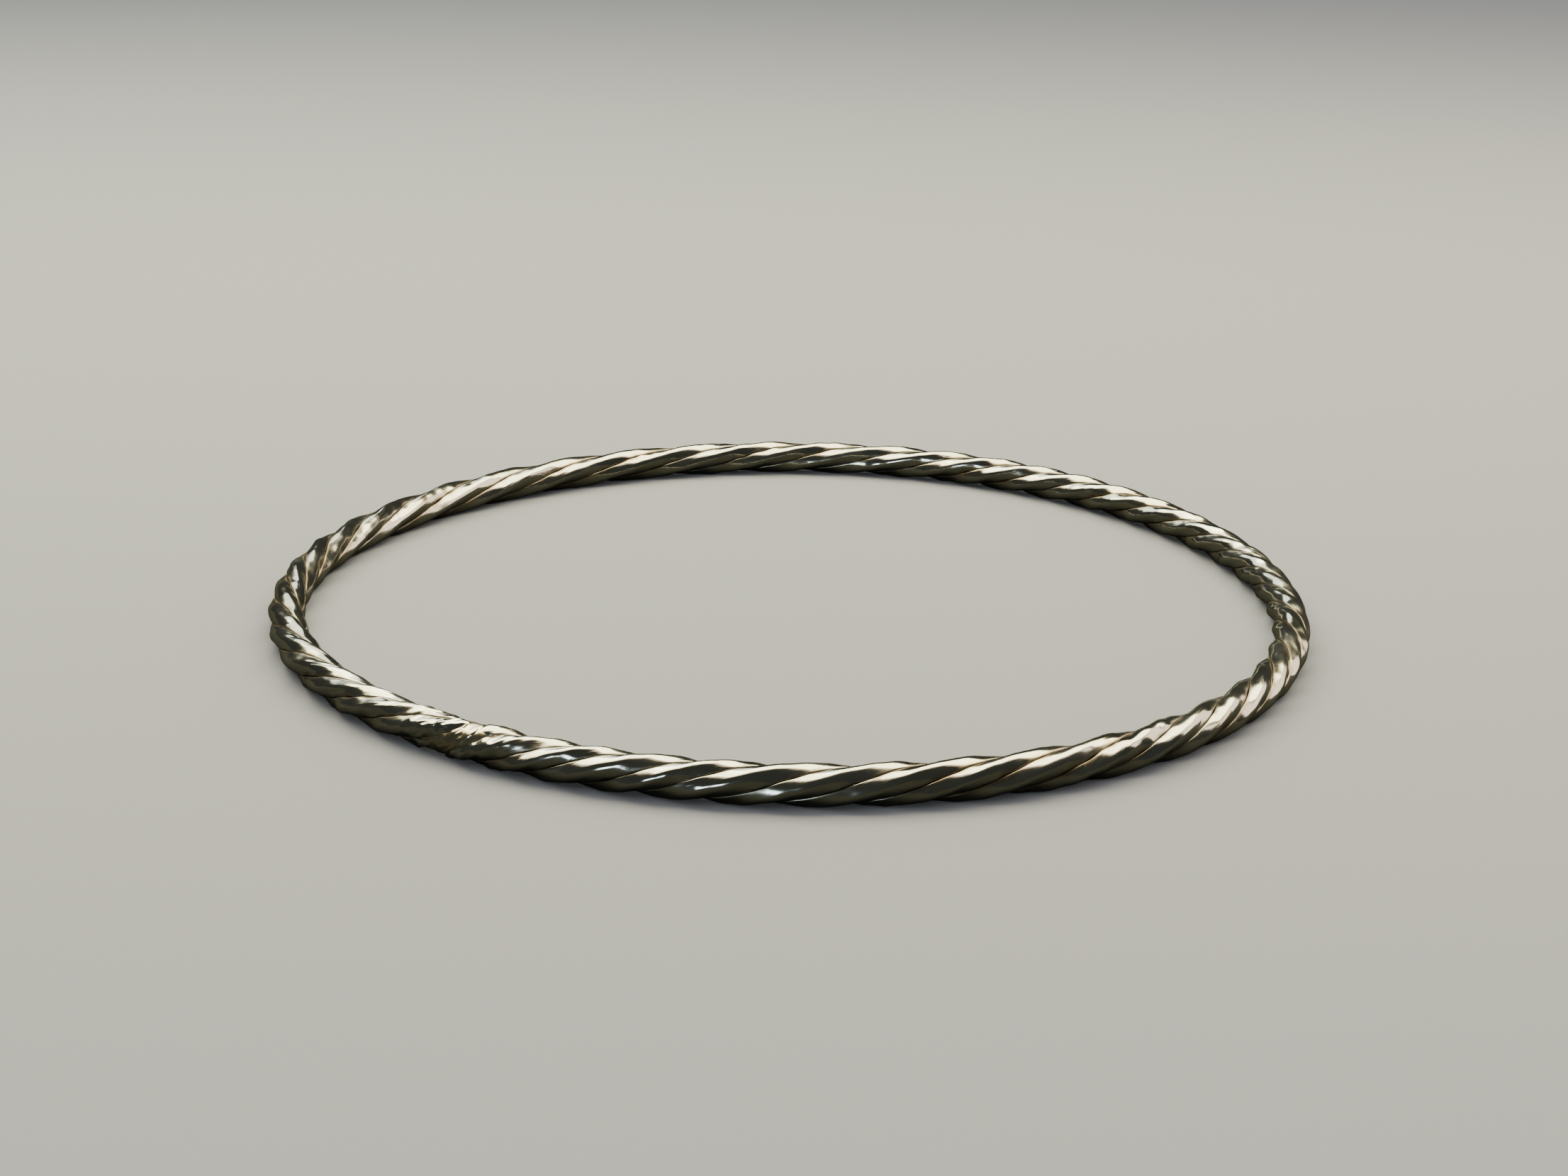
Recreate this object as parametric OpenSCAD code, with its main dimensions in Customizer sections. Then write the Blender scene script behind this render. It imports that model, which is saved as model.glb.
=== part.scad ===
// Twisted wire bangle, in millimetres, lying on z = 0.
// Four silver wires are pressed together and twisted into one rod, which is bent to a ring
// and closed with one soldered joint.
// Ring angles run anticlockwise from above, from 0 at the middle of the -Y side.
// Tube angles run round the rod, from 0 on the outside of the ring to 90 on top.

/* [Ring] */
// Radius of the ring, from its middle to the middle of the rod
ring_radius = 33.75; // [20:0.25:60]
// Depth of the slight bend outward at three places of the ring
bend_depth = 0.36; // [0:0.02:0.8]
// Ring angle of the first bend outward
bend_angle = 43; // [0:1:119]
// Depth of the slight oval
oval_depth = 0.06; // [0:0.02:0.6]
// Ring angle at which the oval is widest
oval_angle = -24; // [-90:1:90]

/* [Rod] */
// Radius of the rod over the ridges of its wires
rod_radius = 1.25; // [0.8:0.05:3]
// Gap between wires that lie against each other, and at the joint
wire_gap = 0.04; // [0.02:0.01:0.08]

/* [Wire section] */
// Radius of the ridge, as a share of the rod's radius
ridge_share = 0.42; // [0.36:0.01:0.5]
// Half of the ridge's arc
ridge_arc = 35; // [25:1:40]
// Radius of the flank between ridge and shoulder, as a share of the rod's radius
flank_share = 1; // [0.8:0.05:1.4]
// Radius of the shoulder beside each groove, as a share of the rod's radius
shoulder_share = 0.08; // [0.04:0.01:0.12]
// Distance of the wire's inner edge from the middle of the rod
core_gap = 0.05; // [0.04:0.01:0.2]

/* [Solder joint] */
// Ring angle of a quarter turn of the twist just before the joint
lay_before = 8; // [6:0.5:10]
// Ring angle of a quarter turn of the twist just after the joint
lay_after = 6; // [5:0.5:10]
// Ring angle of the middle of the seam
seam_angle = -35.25; // [-38.5:0.25:-34.5]
// How far the seam runs along the ring from under the rod to its top
seam_slant = 3; // [0:0.5:5]
// Ring angle over which the solder fills the grooves on each side of the seam
solder_width = 1.4; // [0.5:0.1:3]
// Depth of the grooves where the wires are fused, as a share of the rod's radius
groove_share = 0.2; // [0.1:0.01:0.25]
// Height of the swelling on top of the rod after the joint
swell_height = 0.12; // [0:0.02:0.3]
// Ring angle of the swelling
swell_angle = -30; // [-34:1:-26]

/* [Hidden] */

// Columns: ring angle, and the quarter turns that the twist has made there. One wire's ridge
// is on top of the rod at each whole number. The lay is not even, as on a rod twisted by hand.
TWIST = [
    [-31, -5], [-19, -3], [-6.5, -1], [8, 1], [23, 3], [38.5, 5], [52, 7],
    [65, 9], [98, 14], [132, 19], [159, 23], [176, 25], [194, 27], [214.5, 29],
    [234.5, 31], [254, 33], [271, 35], [288, 37], [304.5, 39], [319.5, 41]
];
ROWS = len(TWIST);

WIRES = 4;
first_turn = -5.25;
last_turn = 40.75;
turn_step = 0.25;
swell_length = 2;
swell_side = 75;
joint_sides = 24;
joint_spans = 11;
solder_fill = 0.75;
silver = [0.85, 0.83, 0.78];
solder = [0.80, 0.72, 0.56];

// Slope of the ring angle over the quarter turns at a row of the table, from its neighbours
function row_slope(i) =
    let(before = TWIST[max(i - 1, 0)], after = TWIST[min(i + 1, ROWS - 1)])
    (after[0] - before[0]) / (after[1] - before[1]);

// Row of the table that a number of quarter turns follows
function row_before(turns, i = 0) =
    i >= ROWS - 2 || TWIST[i + 1][1] > turns ? i : row_before(turns, i + 1);

// Ring angle at a number of quarter turns, on a smooth curve through the table
function ring_angle_at(turns) =
    let(i = row_before(turns),
        span = TWIST[i + 1][1] - TWIST[i][1],
        s = (turns - TWIST[i][1]) / span,
        share = 3 * pow(s, 2) - 2 * pow(s, 3))
    (1 - share) * TWIST[i][0] + share * TWIST[i + 1][0]
        + (pow(s, 3) - 2 * pow(s, 2) + s) * span * row_slope(i)
        + (pow(s, 3) - pow(s, 2)) * span * row_slope(i + 1);

// Distance of the rod's middle line from the middle of the ring, and its change for each radian
function ring_reach(a) =
    ring_radius + bend_depth * cos(3 * (a - bend_angle)) + oval_depth * cos(2 * (a - oval_angle));
function reach_change(a) =
    -3 * bend_depth * sin(3 * (a - bend_angle)) - 2 * oval_depth * sin(2 * (a - oval_angle));

// Share by which the rod swells at a place on it, upward only
function swell(a, tube_angle) =
    let(near = exp(-pow((a - swell_angle) / swell_length, 2)),
        side = max(0, cos(tube_angle - swell_side)))
    1 + swell_height / rod_radius * near * pow(side, 2);

// A point of the rod at a ring angle, a distance from its middle line and a tube angle
function rod_point(a, distance, tube_angle) =
    let(reach = ring_reach(a),
        heading = a - atan(reach_change(a) / reach),
        d = distance * swell(a, tube_angle),
        out = d * cos(tube_angle),
        up = d * sin(tube_angle))
    [reach * sin(a) + out * sin(heading), -reach * cos(a) - out * cos(heading), rod_radius + up];

function polar(radius, angle) = [radius * cos(angle), radius * sin(angle)];

// Section of a wire: x runs outward from the middle of the rod. Ridge, flank and shoulder
// are arcs that run into each other, and two flats meet at the inner edge.
ridge_radius = ridge_share * rod_radius;
flank_radius = flank_share * rod_radius;
shoulder_radius = shoulder_share * rod_radius;
ridge_middle = [rod_radius - ridge_radius, 0];
ridge_end = ridge_middle + polar(ridge_radius, ridge_arc);
flank_middle = ridge_end - polar(flank_radius, ridge_arc);
inner_radius = flank_radius - shoulder_radius;
shoulder_room = wire_gap / 2 + shoulder_radius + (flank_middle.y - flank_middle.x) / sqrt(2);
flank_end_angle = 45 - asin(shoulder_room / inner_radius);
shoulder_middle = flank_middle + polar(inner_radius, flank_end_angle);
upper_half = [
    [rod_radius, 0],
    ridge_middle + polar(ridge_radius, ridge_arc / 2),
    ridge_end,
    shoulder_middle + polar(shoulder_radius, flank_end_angle),
    shoulder_middle + polar(shoulder_radius, 135),
    [core_gap, 0]
];
lower_half = [for (i = [len(upper_half) - 2 : -1 : 1]) [upper_half[i].x, -upper_half[i].y]];
wire_section = concat(upper_half, lower_half);
wire_sides = len(wire_section);

turn_stations = [first_turn : turn_step : last_turn];

function wire_points(wire) = [
    for (turns = turn_stations, p = wire_section)
        rod_point(ring_angle_at(turns), norm(p), 90 * (turns + 1 - wire) + atan2(p.y, p.x))
];

// The part's own origin is under the middle of the ring's box
all_points = [for (wire = [1 : WIRES]) each wire_points(wire)];
function box_middle(values) = (min(values) + max(values)) / 2;
ring_shift = [
    -box_middle([for (p = all_points) p.x]),
    -box_middle([for (p = all_points) p.y]),
    0
];

// A solid through rings of points, with flat ends. The upper half of each side is split along
// one diagonal and the lower half along the other, so that the twisted flats of two wires
// that face each other stay parallel.
module swept(points, sides) {
    last = len(points) / sides - 1;
    faces = [
        for (i = [0 : last - 1], j = [0 : sides - 1])
            let(a = i * sides + j, b = i * sides + (j + 1) % sides, c = a + sides, d = b + sides)
            each (j < sides / 2 ? [[a, b, d], [a, d, c]] : [[a, b, c], [b, d, c]])
    ];
    start = [for (j = [sides - 1 : -1 : 0]) j];
    end = [for (j = [0 : sides - 1]) last * sides + j];
    translate(ring_shift) polyhedron(points, concat(faces, [start, end]));
}

module wire(number) {
    color(silver) swept(wire_points(number), wire_sides);
}

// The joint fills the stretch between the wires' ends. Its grooves follow the twist on each side
// of the slanted seam, and the solder fills them where it crosses.
end_gap = wire_gap * 180 / (PI * ring_radius);
joint_start = ring_angle_at(last_turn) - 360 + end_gap;
joint_end = ring_angle_at(first_turn) - end_gap;

function seam_at(tube_angle) = seam_angle + seam_slant * sin(tube_angle);
function wave(tube_angle, turns) = cos(4 * tube_angle - 360 * turns);

function joint_point(a, tube_angle) =
    let(past = (a - seam_at(tube_angle)) / solder_width,
        before = wave(tube_angle, last_turn + (a - joint_start) / lay_before),
        after = wave(tube_angle, first_turn + (a - joint_end) / lay_after),
        ridges = past < 0 ? before : after,
        filled = ridges + (solder_fill - ridges) * exp(-pow(past, 2)))
    rod_point(a, rod_radius * (1 - groove_share * (1 - filled) / 2), tube_angle);

joint_points = [
    for (i = [0 : joint_spans], j = [0 : joint_sides - 1])
        joint_point(joint_start + (joint_end - joint_start) * i / joint_spans, 360 * j / joint_sides)
];

module solder_joint() {
    color(solder) swept(joint_points, joint_sides);
}

wire(1);  // wire_1
wire(2);  // wire_2
wire(3);  // wire_3
wire(4);  // wire_4
solder_joint();
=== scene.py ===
import math

import bpy
import numpy as np
from mathutils import Matrix, Vector


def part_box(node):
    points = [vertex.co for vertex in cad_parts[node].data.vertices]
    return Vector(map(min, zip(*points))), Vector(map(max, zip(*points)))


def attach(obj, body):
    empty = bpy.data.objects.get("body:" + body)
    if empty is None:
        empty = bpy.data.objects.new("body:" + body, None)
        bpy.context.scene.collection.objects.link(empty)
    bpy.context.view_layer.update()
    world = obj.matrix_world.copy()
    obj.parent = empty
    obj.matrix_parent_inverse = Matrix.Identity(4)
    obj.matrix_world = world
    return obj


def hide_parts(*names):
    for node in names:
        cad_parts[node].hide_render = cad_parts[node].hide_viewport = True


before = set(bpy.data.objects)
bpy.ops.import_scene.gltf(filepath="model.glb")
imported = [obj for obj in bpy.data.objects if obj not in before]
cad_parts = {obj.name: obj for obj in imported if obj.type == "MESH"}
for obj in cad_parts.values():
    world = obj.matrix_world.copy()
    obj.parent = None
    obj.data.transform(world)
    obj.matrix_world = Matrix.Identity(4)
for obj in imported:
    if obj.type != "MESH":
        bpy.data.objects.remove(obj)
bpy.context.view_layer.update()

MM = 0.001

# Sizes of the ring and the rod, as they are packed
wire_low, wire_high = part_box("wire_1")
ROD_RADIUS = (wire_high.z - wire_low.z) / 2 / MM
RING_RADIUS = 33.75
RING_MIDDLE = (0.3, -0.21)
BEND_DEPTH, BEND_ANGLE = 0.36, 43
OVAL_DEPTH, OVAL_ANGLE = 0.06, -24

# Columns: ring angle, and the quarter turns that the twist has made there
TWIST = np.array([
    (-31, -5), (-19, -3), (-6.5, -1), (8, 1), (23, 3), (38.5, 5), (52, 7),
    (65, 9), (98, 14), (132, 19), (159, 23), (176, 25), (194, 27), (214.5, 29),
    (234.5, 31), (254, 33), (271, 35), (288, 37), (304.5, 39), (319.5, 41),
])
LAY_AFTER, LAY_BEFORE = 6, 8
WIRES = 4

# Columns: number of a groove between two wires, and how many degrees further round the rod it
# lies than in an even twist. Groove 0 is next to the middle of the near side.
GROOVE_SHIFTS = np.array([
    (-6, 5), (-4, 3), (-3, 16), (-2, 6), (-1, 14), (0, 3), (1, 5), (2, 4), (3, 10),
    (4, 8), (6, 8), (8, 0), (36, 0), (39, -6), (40, 2), (41, 8),
])

# Section of a wire, as shares of the rod's radius
RIDGE_SHARE, RIDGE_ARC = 0.42, 35
FLANK_SHARE = 1.0
SHOULDER_SHARE = 0.08
WIRE_GAP = 0.012
CORE_GAP = 0.05

# The soldered joint: the wires that come round to it end at one cut, and the first ones start
# at another. Both cuts lie aslant round the rod.
END_CUT = {"middle": -36.7, "slant": 3.4, "top": 75, "softness": 0.5}
START_CUT = {"middle": -34.0, "slant": 2.4, "top": 82, "softness": 0.9}
LAST_ANGLE, FIRST_ANGLE = -33.0, -35.6
BURIED_SHARE = 0.77
SOLDER_SHARE = 0.86
SOLDER_REACH = (-42.5, -29.5)
SOLDER_SECTIONS, SOLDER_SIDES = 150, 144

# Numbers of sections that a wire is swept through: over the quarter turn at each end, where the
# cuts need them close together, and over the rest of it
END_SECTIONS, LONG_SECTIONS = 130, 940

# How high the unevenness of a wire is: slight waves, what they gain at the joint, ripples at the
# joint, and a slow swing along the wire. All of it lies this much lower, to stay in the box.
WAVES, WAVES_AT_JOINT, RIPPLES, SWING, LOWERED = 0.009, 0.006, 0.024, 0.018, 0.012

# The joint's middle, and how far along the ring its ripples and its heat colour reach
JOINT_ANGLE, RIPPLE_REACH, HEAT_REACH = -34.5, 8, 5

# Depth, as a share of the rod's radius, from which a groove is wholly out of a cloth's reach
SHELTERED_DEPTH = 0.24

# How far apart the wires' marks are taken from one pattern, so that no two wires match
MARKS_APART = 7.3

# The rod is swollen on top where the wires start again
SWELL = {"height": 0.12, "angle": -30, "length": 2, "side": 75}

# Columns: ring angle, tube angle, length, width and depth of a dent
DENTS = [
    (-53.5, 38, 1.6, 0.16, 0.03),
    (-57.5, 12, 1.3, 0.14, 0.025),
    (-61.0, 62, 0.9, 0.2, 0.02),
    (-31.0, 30, 0.5, 0.18, 0.03),
    (-28.5, 18, 0.7, 0.14, 0.03),
    (-27.0, 52, 0.6, 0.16, 0.025),
    (-24.5, 66, 0.8, 0.22, 0.02),
    (11.5, 30, 0.9, 0.18, 0.015),
    (46.0, 75, 1.1, 0.2, 0.025),
    (120.0, 150, 0.9, 0.25, 0.02),
    (205.0, 40, 1.2, 0.2, 0.02),
]


def turned_to(angle, middle):
    """Degrees from a middle to an angle, the short way round."""
    return (angle - middle + 180) % 360 - 180


def cut_angle(cut, tube):
    """Ring angle of a cut at a tube angle."""
    return cut["middle"] + cut["slant"] * np.cos(np.radians(tube - cut["top"]))


def ease(x):
    """0 below 0, 1 above 1, and smooth between."""
    x = np.clip(x, 0, 1)
    return x * x * (3 - 2 * x)


def ring_angle_at(turns):
    """Ring angle at a number of quarter turns, on a smooth curve through the table."""
    angles, counts = TWIST.T
    last = len(counts) - 1
    before = np.maximum(np.arange(last + 1) - 1, 0)
    after = np.minimum(np.arange(last + 1) + 1, last)
    slopes = (angles[after] - angles[before]) / (counts[after] - counts[before])
    row = np.clip(np.searchsorted(counts, turns, "right") - 1, 0, last - 1)
    span = counts[row + 1] - counts[row]
    s = np.clip((turns - counts[row]) / span, 0, 1)
    share = 3 * s**2 - 2 * s**3
    angle = (1 - share) * angles[row] + share * angles[row + 1]
    angle += (s**3 - 2 * s**2 + s) * span * slopes[row] + (s**3 - s**2) * span * slopes[row + 1]
    angle += np.minimum(turns - counts[0], 0) * LAY_AFTER
    return angle + np.maximum(turns - counts[-1], 0) * LAY_BEFORE


def ring_line(angle):
    """Distance of the rod's middle line from the ring's middle, and the way that the rod faces."""
    bend = 3 * np.radians(angle - BEND_ANGLE)
    oval = 2 * np.radians(angle - OVAL_ANGLE)
    reach = RING_RADIUS + BEND_DEPTH * np.cos(bend) + OVAL_DEPTH * np.cos(oval)
    change = -3 * BEND_DEPTH * np.sin(bend) - 2 * OVAL_DEPTH * np.sin(oval)
    return reach, np.radians(angle) - np.arctan(change / reach)


def rod_points(angle, distance, tube):
    """Points of the rod, from ring angle, distance from the rod's middle line and tube angle."""
    reach, heading = ring_line(angle)
    near = np.exp(-(((angle - SWELL["angle"]) / SWELL["length"]) ** 2))
    side = np.maximum(np.cos(np.radians(tube - SWELL["side"])), 0)
    distance = distance * (1 + SWELL["height"] / ROD_RADIUS * near * side**2)
    out = distance * np.cos(np.radians(tube))
    up = distance * np.sin(np.radians(tube))
    a = np.radians(angle)
    x = RING_MIDDLE[0] + reach * np.sin(a) + out * np.sin(heading)
    y = RING_MIDDLE[1] - reach * np.cos(a) - out * np.cos(heading)
    return np.stack([x, y, np.maximum(ROD_RADIUS + up, 0)], -1) * MM


def groove_shift(turns, tube):
    """Degrees that a place on the rod lies further round than in an even twist, none under the rod."""
    side = turned_to(tube, 45)
    numbers, degrees = GROOVE_SHIFTS.T
    return np.interp(turns - side / 90, numbers, degrees) * ease((150 - np.abs(side)) / 60)


def arc(middle, radius, start, end, count):
    """Points on an arc, without its first one."""
    t = np.radians(np.linspace(start, end, count + 1)[1:])
    return middle + radius * np.stack([np.cos(t), np.sin(t)], -1)


def wire_section():
    """Outline of a wire, with x outward from the rod's middle: ridge, flank, shoulder and flat."""
    ridge, flank, shoulder = (ROD_RADIUS * s for s in (RIDGE_SHARE, FLANK_SHARE, SHOULDER_SHARE))
    ridge_middle = np.array([ROD_RADIUS - ridge, 0])
    ridge_end = arc(ridge_middle, ridge, 0, RIDGE_ARC, 1)[-1]
    flank_middle = ridge_end - arc(np.zeros(2), flank, 0, RIDGE_ARC, 1)[-1]
    room = WIRE_GAP / 2 + shoulder + (flank_middle[1] - flank_middle[0]) / math.sqrt(2)
    turn = 45 - math.degrees(math.asin(room / (flank - shoulder)))
    shoulder_middle = flank_middle + arc(np.zeros(2), flank - shoulder, 0, turn, 1)[-1]
    upper = np.concatenate([
        [[ROD_RADIUS, 0]],
        arc(ridge_middle, ridge, 0, RIDGE_ARC, 9),
        arc(flank_middle, flank, RIDGE_ARC, turn, 7),
        arc(shoulder_middle, shoulder, turn, 135, 5),
    ])
    flat = np.linspace(upper[-1], [CORE_GAP, 0], 4)[1:]
    upper = np.concatenate([upper, flat])
    return np.concatenate([upper, upper[-2:0:-1] * (1, -1)])


def outward(section):
    """Direction that each point of a closed outline faces."""
    along = np.roll(section, -1, 0) - np.roll(section, 1, 0)
    facing = np.stack([along[:, 1], -along[:, 0]], -1)
    return facing / np.linalg.norm(facing, axis=1, keepdims=True)


def unevenness(along, around, seed, waves=14):
    """Height of the slight waves that drawing, twisting and filing leave, about 1 at most."""
    draw = np.random.default_rng(seed)
    height = np.zeros(np.broadcast(along, around).shape)
    for _ in range(waves):
        length, width = draw.uniform(1.2, 5.0), draw.uniform(0.9, 3.0)
        shift, tilt = draw.uniform(0, 2 * np.pi), draw.choice([-1, 1])
        height += np.sin(2 * np.pi * (along / length + tilt * around / width) + shift)
    return height / math.sqrt(waves)


def creases(angle, around, seed, count=30):
    """Depth of the long shallow lines that twisting pressed into a wire, mostly near the joint."""
    draw = np.random.default_rng(seed)
    depth = np.zeros(np.broadcast(angle, around).shape)
    for _ in range(count):
        middle = draw.choice([draw.normal(-50, 9), draw.uniform(0, 320)], p=[0.6, 0.4])
        length, width = draw.uniform(1.5, 4.5), draw.uniform(0.06, 0.1)
        side = draw.uniform(-0.75, 0.75)
        away = turned_to(angle, middle)
        across = (around - side - draw.normal(0, 0.02) * away) / width
        depth += draw.uniform(0.007, 0.018) * np.exp(-((away / length) ** 4) - across**2)
    return depth


def dents(angle, tube):
    """Depth of the dents at places of the rod. They lie aslant, as the wires do."""
    depth = np.zeros(np.broadcast(angle, tube).shape)
    lay = math.radians(24)
    for at, side, length, width, deep in DENTS:
        along = np.radians(turned_to(angle, at)) * RING_RADIUS
        around = np.radians(turned_to(tube, side)) * ROD_RADIUS
        u = along * math.cos(lay) + around * math.sin(lay)
        v = around * math.cos(lay) - along * math.sin(lay)
        depth += deep * np.exp(-((u / length) ** 2) - (v / width) ** 2)
    return depth


def swept_mesh(name, points, notes):
    """A closed mesh through rings of points. Notes are named values of each point."""
    rings, sides = points.shape[:2]
    index = np.arange(rings * sides).reshape(rings, sides)
    a, b = index[:-1], np.roll(index, -1, 1)[:-1]
    c, d = np.roll(index, -1, 1)[1:], index[1:]
    quads = np.stack([a, b, c, d], -1).reshape(-1, 4)
    ends = [index[0, ::-1].tolist(), index[-1].tolist()]
    mesh = bpy.data.meshes.new(name)
    mesh.from_pydata(points.reshape(-1, 3).tolist(), [], quads.tolist() + ends)
    for note, values in notes.items():
        stored = mesh.attributes.new(note, "FLOAT", "POINT")
        stored.data.foreach_set("value", np.ascontiguousarray(values, np.float32).ravel())
    mesh.polygons.foreach_set("use_smooth", np.ones(len(mesh.polygons), bool))
    mesh.update()
    piece = bpy.data.objects.new(name, mesh)
    bpy.context.scene.collection.objects.link(piece)
    return piece


def wire(number, section, finish):
    """One wire, from its start after the joint round to its end before it."""
    first = TWIST[0, 1] + (FIRST_ANGLE - TWIST[0, 0]) / LAY_AFTER
    last = TWIST[-1, 1] + (LAST_ANGLE + 360 - TWIST[-1, 0]) / LAY_BEFORE
    turns = np.concatenate([
        np.linspace(first, first + 1, END_SECTIONS, endpoint=False),
        np.linspace(first + 1, last - 1, LONG_SECTIONS, endpoint=False),
        np.linspace(last - 1, last, END_SECTIONS),
    ])[:, None]
    angle = ring_angle_at(turns)
    along = np.radians(angle) * RING_RADIUS

    facing = outward(section)
    outer = ease((np.linalg.norm(section, axis=1) / ROD_RADIUS - 0.6) / 0.15)
    # Way round the section from its ridge, counted back from there on its other side
    girth = np.cumsum(np.linalg.norm(section - np.roll(section, 1, 0), axis=1))
    around = girth - girth[0]
    around = around - girth[-1] * (around > girth[-1] / 2)
    middle = 90 * (turns + 1 - number)
    tube = middle + np.degrees(np.arctan2(section[:, 1], section[:, 0]))
    to_joint = turned_to(angle, JOINT_ANGLE)
    near_joint = np.exp(-((to_joint / RIPPLE_REACH) ** 2))
    wave = (WAVES + WAVES_AT_JOINT * near_joint) * unevenness(along, around, seed=number)
    ripple = RIPPLES * near_joint * unevenness(along * 2.2, around * 2.2, seed=20 + number)
    swing = SWING * unevenness(along, 0 * around, seed=10 + number, waves=6)
    worn = dents(angle, tube) + creases(angle, around, seed=30 + number)
    height = (wave + ripple + swing - worn - LOWERED) * outer
    x = section[:, 0] + facing[:, 0] * height
    y = section[:, 1] + facing[:, 1] * height
    distance = np.hypot(x, y)
    tube = middle + np.degrees(np.arctan2(y, x))
    tube = tube + groove_shift(turns, tube)

    # The wire ends in a soft step and starts with a rounded edge
    past_end = ease((angle - 360 - cut_angle(END_CUT, tube)) / END_CUT["softness"])
    start = np.clip((angle - cut_angle(START_CUT, tube)) / START_CUT["softness"], 0, 1)
    before_start = 1 - np.sqrt(1 - (1 - start) ** 2)
    distance = distance * (1 - (1 - BURIED_SHARE) * (past_end + before_start))

    points = rod_points(angle, distance, tube)
    shape = points.shape[:2]
    shelter = np.clip((1 - distance / ROD_RADIUS) / SHELTERED_DEPTH, 0, 1)
    heat = np.exp(-((to_joint / HEAT_REACH) ** 2))
    notes = {
        "along": np.broadcast_to(along, shape),
        "around": np.broadcast_to(around + number * MARKS_APART, shape),
        "shelter": np.broadcast_to(shelter, shape),
        "heat": np.broadcast_to(heat, shape),
    }
    piece = swept_mesh(f"silver_wire_{number}", points, notes)
    piece.data.materials.append(finish)
    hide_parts(f"wire_{number}")
    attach(piece, "root")


def solder(finish):
    """The solder: a band between the two cuts that thins out into the grooves on both sides."""
    angle = np.linspace(*SOLDER_REACH, SOLDER_SECTIONS)[:, None]
    tube = np.linspace(-90, 270, SOLDER_SIDES, endpoint=False)[None, :]
    along = np.radians(angle) * RING_RADIUS
    around = np.radians(tube) * ROD_RADIUS
    to_end = cut_angle(END_CUT, tube) - angle
    to_start = angle - cut_angle(START_CUT, tube)
    outside = np.maximum(np.maximum(to_end, to_start), 0)
    # Shares of the rod's radius: fuller on top, thinner past the cuts, with a lip where the wires
    # start and a fine line where they end
    crown = 0.04 * np.maximum(np.cos(np.radians(tube - 85)), 0) ** 2
    thinned = 0.05 * ease(outside / 0.9) + 0.14 * ease((outside - 0.6) / 2.2)
    lip = 0.04 * np.exp(-np.abs(to_start) / 0.3) * (outside < 0.01)
    line = 0.03 * np.exp(-((to_end / 0.15) ** 2))
    level = SOLDER_SHARE + crown - thinned + lip - line
    lumps = 0.012 * unevenness(along * 1.4, around * 1.4, seed=77)
    flow = np.radians(to_end) * RING_RADIUS + 0.12 * unevenness(along, around, seed=78)
    runs = 0.014 * np.sin(2 * np.pi * flow / 0.85) * np.exp(-outside / 0.8)
    distance = ROD_RADIUS * level + lumps + runs
    points = rod_points(angle, distance, tube)
    shape = points.shape[:2]
    notes = {
        "along": np.broadcast_to(along, shape),
        "around": np.broadcast_to(around, shape),
        "shelter": np.broadcast_to(ease(outside / 2.0), shape),
        "heat": np.ones(shape),
    }
    piece = swept_mesh("solder_band", points, notes)
    piece.data.materials.append(finish)
    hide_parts("solder_joint")
    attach(piece, "root")


def node_group(name, inputs, outputs):
    """An empty shader node group. Its sockets have a name and a kind, and its inputs a value."""
    group = bpy.data.node_groups.new(name, "ShaderNodeTree")
    for label, kind, value in inputs:
        socket = group.interface.new_socket(label, in_out="INPUT", socket_type=kind)
        socket.default_value = value
    for label, kind in outputs:
        group.interface.new_socket(label, in_out="OUTPUT", socket_type=kind)
    return group, group.nodes.new("NodeGroupInput"), group.nodes.new("NodeGroupOutput")


def place(tree, kind, values=None, **settings):
    """A new node with its settings, and with some of its inputs set or linked."""
    made = tree.nodes.new(kind)
    for key, value in settings.items():
        setattr(made, key, value)
    for key, value in (values or {}).items():
        if isinstance(value, bpy.types.NodeSocket):
            tree.links.new(value, made.inputs[key])
        else:
            made.inputs[key].default_value = value
    return made


def math_node(tree, operation, *values):
    """A sum or other operation on values that are numbers or linked."""
    return place(tree, "ShaderNodeMath", dict(enumerate(values)), operation=operation).outputs[0]


def ranged(tree, value, low, high, to_low=0.0, to_high=1.0):
    """A value from low to high, spread over another range and held inside it."""
    values = {0: value, 1: low, 2: high, 3: to_low, 4: to_high}
    return place(tree, "ShaderNodeMapRange", values, interpolation_type="SMOOTHSTEP").outputs[0]


def noise(tree, place_on, scale, detail):
    """Cloudy noise over a place, with its scale and how many finer layers it has."""
    values = {"Vector": place_on, "Scale": scale, "Detail": detail}
    return place(tree, "ShaderNodeTexNoise", values).outputs[0]


def colour_mix(tree, share, low, high):
    """A colour between two others, by a share."""
    made = tree.nodes.new("ShaderNodeMix")
    made.data_type = "RGBA"
    for socket, value in ((made.inputs[0], share), (made.inputs[6], low), (made.inputs[7], high)):
        if isinstance(value, bpy.types.NodeSocket):
            tree.links.new(value, socket)
        else:
            socket.default_value = value
    return made.outputs[2]


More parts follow.
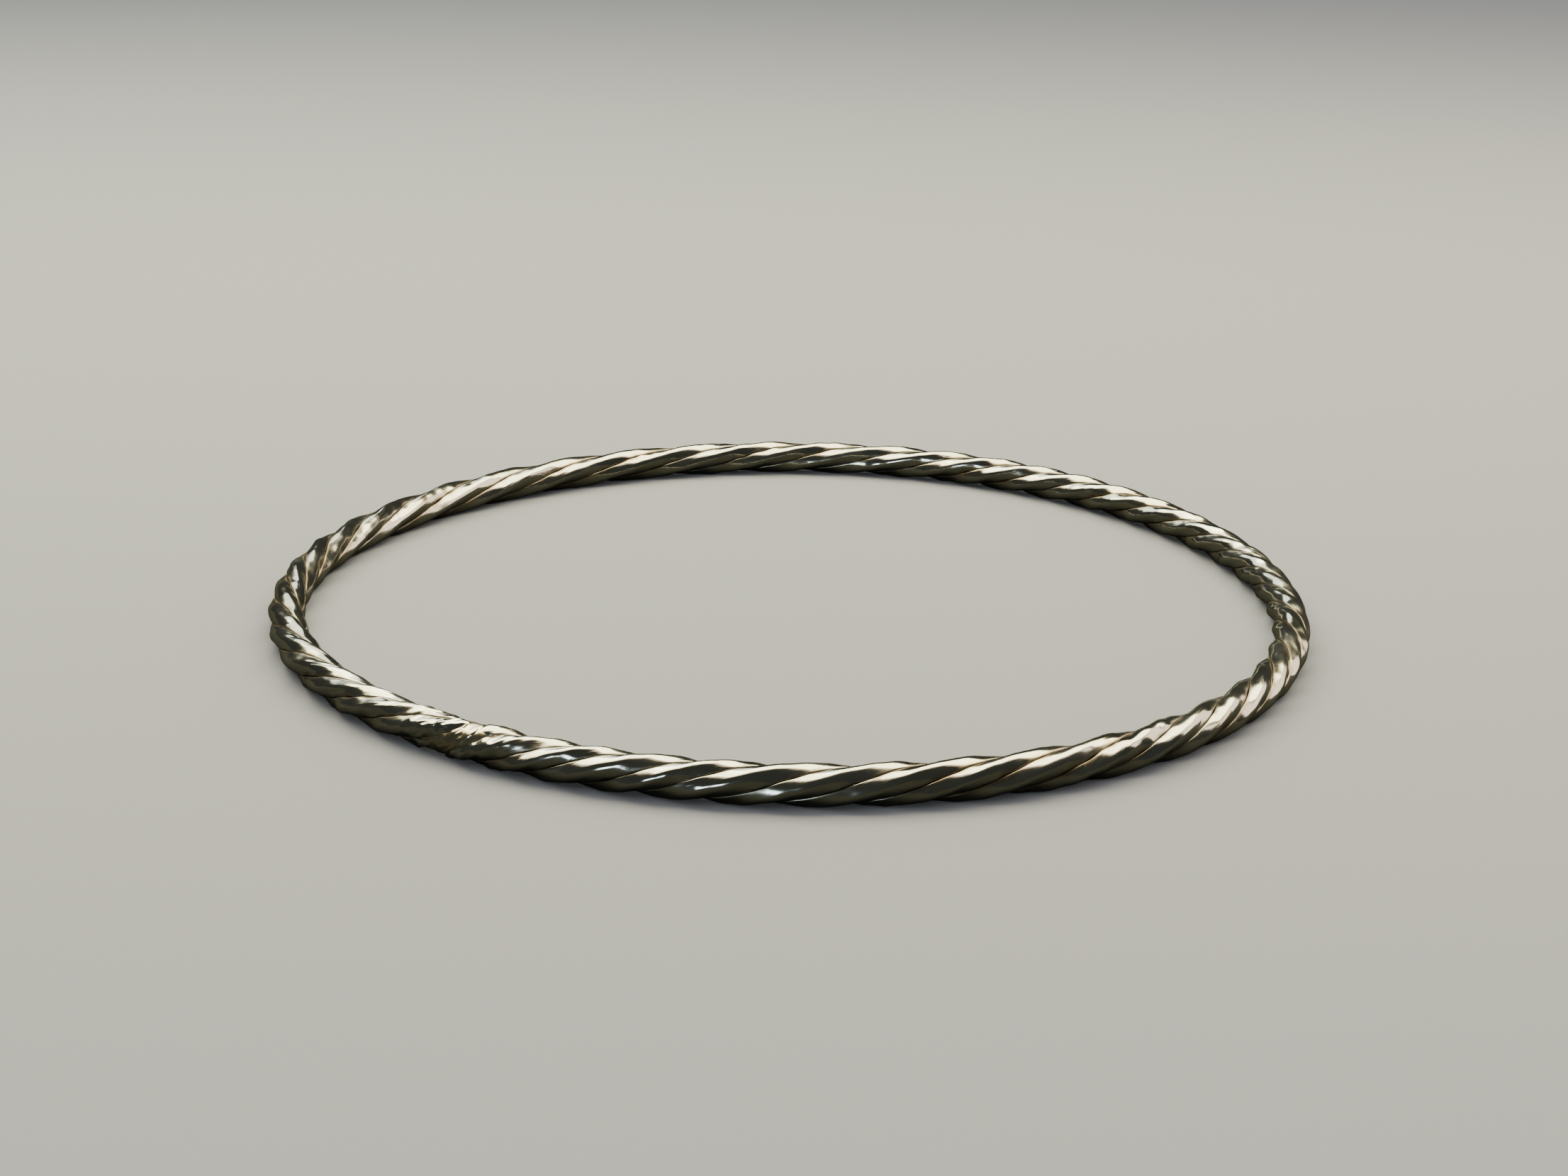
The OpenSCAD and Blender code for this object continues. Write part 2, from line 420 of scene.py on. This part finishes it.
def polishing_marks_group():
    """Fine lines that drawing and polishing leave along a wire, and stray scratches over them."""
    group, given, result = node_group(
        "polishing marks",
        [("Lines", "NodeSocketFloat", 1.0), ("Scratches", "NodeSocketFloat", 1.0)],
        [("Height", "NodeSocketFloat"), ("Scratch", "NodeSocketFloat")],
    )
    along = place(group, "ShaderNodeAttribute", attribute_name="along").outputs["Fac"]
    around = place(group, "ShaderNodeAttribute", attribute_name="around").outputs["Fac"]
    drawn_out = math_node(group, "MULTIPLY", along, 0.35)
    pressed = math_node(group, "MULTIPLY", around, 9.0)
    lay = place(group, "ShaderNodeCombineXYZ", {0: drawn_out, 1: pressed}).outputs[0]
    fine_grain = {"Vector": lay, "Scale": 1.6, "Detail": 4.0, "Roughness": 0.6}
    lines = place(group, "ShaderNodeTexNoise", fine_grain).outputs[0]
    lines = math_node(group, "SUBTRACT", lines, 0.5)
    lined = math_node(group, "MULTIPLY", lines, given.outputs["Lines"])

    flat = place(group, "ShaderNodeCombineXYZ", {0: along, 1: around}).outputs[0]
    # Three ways that scratches lie: how far turned, how stretched along the wire, and how wide
    total = None
    for turn, stretch, thin in ((0.3, 0.1, 0.008), (-0.5, 0.16, 0.006), (1.2, 0.3, 0.004)):
        laid = {"Vector": flat, "Rotation": (0, 0, turn), "Scale": (stretch, 1.6, 1.0)}
        turned = place(group, "ShaderNodeMapping", laid).outputs[0]
        cloud = noise(group, turned, 1.0, 0.0)
        level = math_node(group, "ABSOLUTE", math_node(group, "SUBTRACT", cloud, 0.5))
        fine = ranged(group, level, 0.0, thin, 1.0, 0.0)
        total = fine if total is None else math_node(group, "MAXIMUM", total, fine)
    place_on = place(group, "ShaderNodeTexCoord").outputs["Object"]
    kept = ranged(group, noise(group, place_on, 260.0, 2.0), 0.5, 0.62)
    scratch = math_node(group, "MULTIPLY", total, kept)
    scratch = math_node(group, "MULTIPLY", scratch, given.outputs["Scratches"])
    height = math_node(group, "SUBTRACT", lined, scratch)
    group.links.new(height, result.inputs["Height"])
    group.links.new(scratch, result.inputs["Scratch"])
    return group


def patina_and_reflection_group():
    """Where silver has darkened: in the grooves, by the heat of soldering and in faint clouds. The
    warm tint along the groove edges is partly tarnish and partly a painted reflection of the
    neighbouring wires.
    """
    group, given, result = node_group(
        "patina_and_painted_reflection",
        [("Grooves", "NodeSocketFloat", 1.0), ("Clouds", "NodeSocketFloat", 1.0)],
        [("Dark", "NodeSocketFloat"), ("Warm", "NodeSocketFloat")],
    )
    shelter = place(group, "ShaderNodeAttribute", attribute_name="shelter").outputs["Fac"]
    heat = place(group, "ShaderNodeAttribute", attribute_name="heat").outputs["Fac"]
    place_on = place(group, "ShaderNodeTexCoord").outputs["Object"]
    broken = noise(group, place_on, 900.0, 5.0)
    cloud = noise(group, place_on, 140.0, 4.0)
    ragged = math_node(group, "MULTIPLY", math_node(group, "SUBTRACT", broken, 0.5), 0.7)
    deep = math_node(group, "ADD", shelter, ragged)
    dark = math_node(group, "MULTIPLY", ranged(group, deep, 0.62, 1.1), given.outputs["Grooves"])
    patchy_share = ranged(group, noise(group, place_on, 75.0, 1.0), 0.4, 0.62, 0.1, 1.0)
    clouds = math_node(group, "MULTIPLY", ranged(group, cloud, 0.5, 0.75), given.outputs["Clouds"])
    # Warm tint along the groove edges: tarnish together with a painted reflection of the neighbouring
    # wires
    groove_tint_and_reflection = math_node(group, "MULTIPLY", ranged(group, deep, 0.35, 0.9, 0.0, 0.7), patchy_share)
    heated = math_node(group, "MULTIPLY", heat, ranged(group, broken, 0.35, 0.75))
    warm = math_node(group, "MAXIMUM", heated, clouds)
    warm = math_node(group, "MAXIMUM", warm, groove_tint_and_reflection)
    group.links.new(dark, result.inputs["Dark"])
    group.links.new(warm, result.inputs["Warm"])
    return group


def metal(name, marks, patina_and_painted_reflection, clean, warm, dark, roughness, lines, scratches, grooves, clouds):
    """A worn metal: its clean, warm and dark colours, how rough it is, and how marked. The warm colour
    also paints a reflection along the groove edges.
    """
    made = bpy.data.materials.new(name)
    made.use_nodes = True
    tree = made.node_tree
    shader = tree.nodes["Principled BSDF"]
    marked = place(tree, "ShaderNodeGroup", node_tree=marks)
    marked.inputs["Lines"].default_value = lines
    marked.inputs["Scratches"].default_value = scratches
    darkened = place(tree, "ShaderNodeGroup", node_tree=patina_and_painted_reflection)
    darkened.inputs["Grooves"].default_value = grooves
    darkened.inputs["Clouds"].default_value = clouds
    # Warm tint: tarnish, heat colour and a painted reflection along the groove edges
    colour = colour_mix(tree, darkened.outputs["Warm"], clean, warm)
    colour = colour_mix(tree, darkened.outputs["Dark"], colour, dark)
    tree.links.new(colour, shader.inputs["Base Color"])

    place_on = place(tree, "ShaderNodeTexCoord").outputs["Object"]
    rough = ranged(tree, noise(tree, place_on, 330.0, 5.0), 0.35, 0.75, roughness, roughness + 0.1)
    rough = math_node(tree, "ADD", rough, math_node(tree, "MULTIPLY", marked.outputs["Scratch"], 0.18))
    rough = math_node(tree, "ADD", rough, math_node(tree, "MULTIPLY", darkened.outputs["Dark"], 0.35))
    tree.links.new(rough, shader.inputs["Roughness"])
    shader.inputs["Metallic"].default_value = 1.0

    pits = math_node(tree, "MULTIPLY", noise(tree, place_on, 2600.0, 3.0), 0.5)
    height = math_node(tree, "ADD", marked.outputs["Height"], pits)
    bump = place(tree, "ShaderNodeBump", {"Height": height, "Strength": 0.12, "Distance": 0.00006})
    tree.links.new(bump.outputs[0], shader.inputs["Normal"])
    return made


def studio_floor():
    """A plain pale floor, with the bangle lying on it."""
    bpy.ops.mesh.primitive_plane_add(size=3.0, location=(0, 0, 0))
    floor = bpy.context.object
    floor.name = "floor"
    finish = bpy.data.materials.new("pale floor")
    finish.use_nodes = True
    tree = finish.node_tree
    shader = tree.nodes["Principled BSDF"]
    shader.inputs["Roughness"].default_value = 0.9
    shader.inputs["Specular IOR Level"].default_value = 0.1
    # A polished ring mirrors the floor as a white glare over half of each wire, so in mirrored
    # light the floor is darker
    pale, dim = (0.33, 0.34, 0.375, 1), (0.017, 0.0185, 0.016, 1)
    mirrored = place(tree, "ShaderNodeLightPath").outputs["Is Glossy Ray"]
    colour = colour_mix(tree, mirrored, pale, dim)
    tree.links.new(colour, shader.inputs["Base Color"])
    floor.data.materials.append(finish)


def soft_box(name, place_at, aim_at, size, brightness, tint):
    """A softbox: a flat rectangular light that faces a point and looks equally bright all over."""
    light = bpy.data.lights.new(name, "AREA")
    light.shape = "RECTANGLE"
    light.size, light.size_y = size
    light.energy = brightness * math.pi * size[0] * size[1]
    light.color = tint
    stand = bpy.data.objects.new(name, light)
    bpy.context.scene.collection.objects.link(stand)
    stand.visible_camera = False
    stand.location = place_at
    stand.rotation_euler = (Vector(aim_at) - Vector(place_at)).to_track_quat("-Z", "Y").to_euler()


def studio_light():
    """A broad softbox overhead with a dim one at its front edge, one behind on the left, a warm one
    on the right and a small cool one in front, in a plain room."""
    world = bpy.data.worlds.new("plain room")
    bpy.context.scene.world = world
    world.use_nodes = True
    tree = world.node_tree
    # The room is pale, but the ring mirrors it dim, so that the softboxes draw its wires
    pale, dim = (0.7, 0.69, 0.67, 1), (0.03, 0.033, 0.029, 1)
    mirrored = place(tree, "ShaderNodeLightPath").outputs["Is Glossy Ray"]
    colour = colour_mix(tree, mirrored, pale, dim)
    tree.links.new(colour, tree.nodes["Background"].inputs["Color"])
    soft_box("overhead softbox", (-0.028, 0.11, 0.25), (-0.028, 0.11, 0),
             size=(0.605, 0.25), brightness=5.2, tint=(1, 0.92, 0.57))
    soft_box("dim front softbox", (-0.028, -0.035, 0.25), (-0.028, -0.035, 0),
             size=(0.605, 0.04), brightness=0.8, tint=(1, 0.78, 0.55))
    soft_box("back left softbox", (-0.19, 0.33, 0.32), (0, 0, 0),
             size=(0.3, 0.3), brightness=2.0, tint=(0.94, 1, 0.84))
    soft_box("warm right softbox", (0.5, 0.17, 0.2), (0, 0, 0.02),
             size=(0.4, 0.34), brightness=1.8, tint=(1, 0.84, 0.64))
    soft_box("cool front softbox", (-0.2, -0.42, 0.09), (0, 0, 0),
             size=(0.1, 0.11), brightness=5, tint=(0.75, 0.93, 1.0))


def photo_camera():
    """The camera at the photograph's place. It looks at the ring from its near side, a little up."""
    focal_pixels, frame_width = 3323, 2212
    shift_right, shift_up = -12.8, 2.0
    ring_radii_away = 4.798
    rise, roll = math.radians(18.74), math.radians(0.9)
    back = np.array([0, -math.cos(rise), math.sin(rise)])
    middle = np.array([RING_MIDDLE[0], RING_MIDDLE[1], ROD_RADIUS])
    right = np.array([1.0, 0, 0])
    up = np.cross(back, right)
    across = math.cos(roll) * right + math.sin(roll) * up
    upright = math.cos(roll) * up - math.sin(roll) * right
    lens = bpy.data.cameras.new("camera")
    lens.sensor_width = 36
    lens.lens = focal_pixels / frame_width * lens.sensor_width
    lens.shift_x, lens.shift_y = shift_right / frame_width, shift_up / frame_width
    lens.clip_start, lens.clip_end = 0.01, 20
    camera = bpy.data.objects.new("camera", lens)
    bpy.context.scene.collection.objects.link(camera)
    placed = Matrix(np.stack([across, upright, back], 1).tolist()).to_4x4()
    placed.translation = Vector((middle + back * ring_radii_away * RING_RADIUS) * MM)
    camera.matrix_world = placed
    bpy.context.scene.camera = camera


photo_camera()
marks, patina_and_painted_reflection = polishing_marks_group(), patina_and_reflection_group()
# Each warm colour is tarnish and heat colour, and also a painted reflection where the wires meet at
# the grooves
silver = metal(
    "worn silver", marks, patina_and_painted_reflection,
    clean=(0.88, 0.86, 0.78, 1), warm=(0.8, 0.66, 0.46, 1), dark=(0.16, 0.11, 0.07, 1),
    roughness=0.11, lines=0.2, scratches=0.5, grooves=0.8, clouds=0.6,
)
solder_metal = metal(
    "rubbed solder", marks, patina_and_painted_reflection,
    clean=(0.9, 0.78, 0.58, 1), warm=(0.78, 0.58, 0.38, 1), dark=(0.2, 0.13, 0.08, 1),
    roughness=0.22, lines=0.6, scratches=1.5, grooves=0.7, clouds=0.6,
)
section = wire_section()
for number in range(1, WIRES + 1):
    wire(number, section, silver)
solder(solder_metal)
studio_floor()
studio_light()
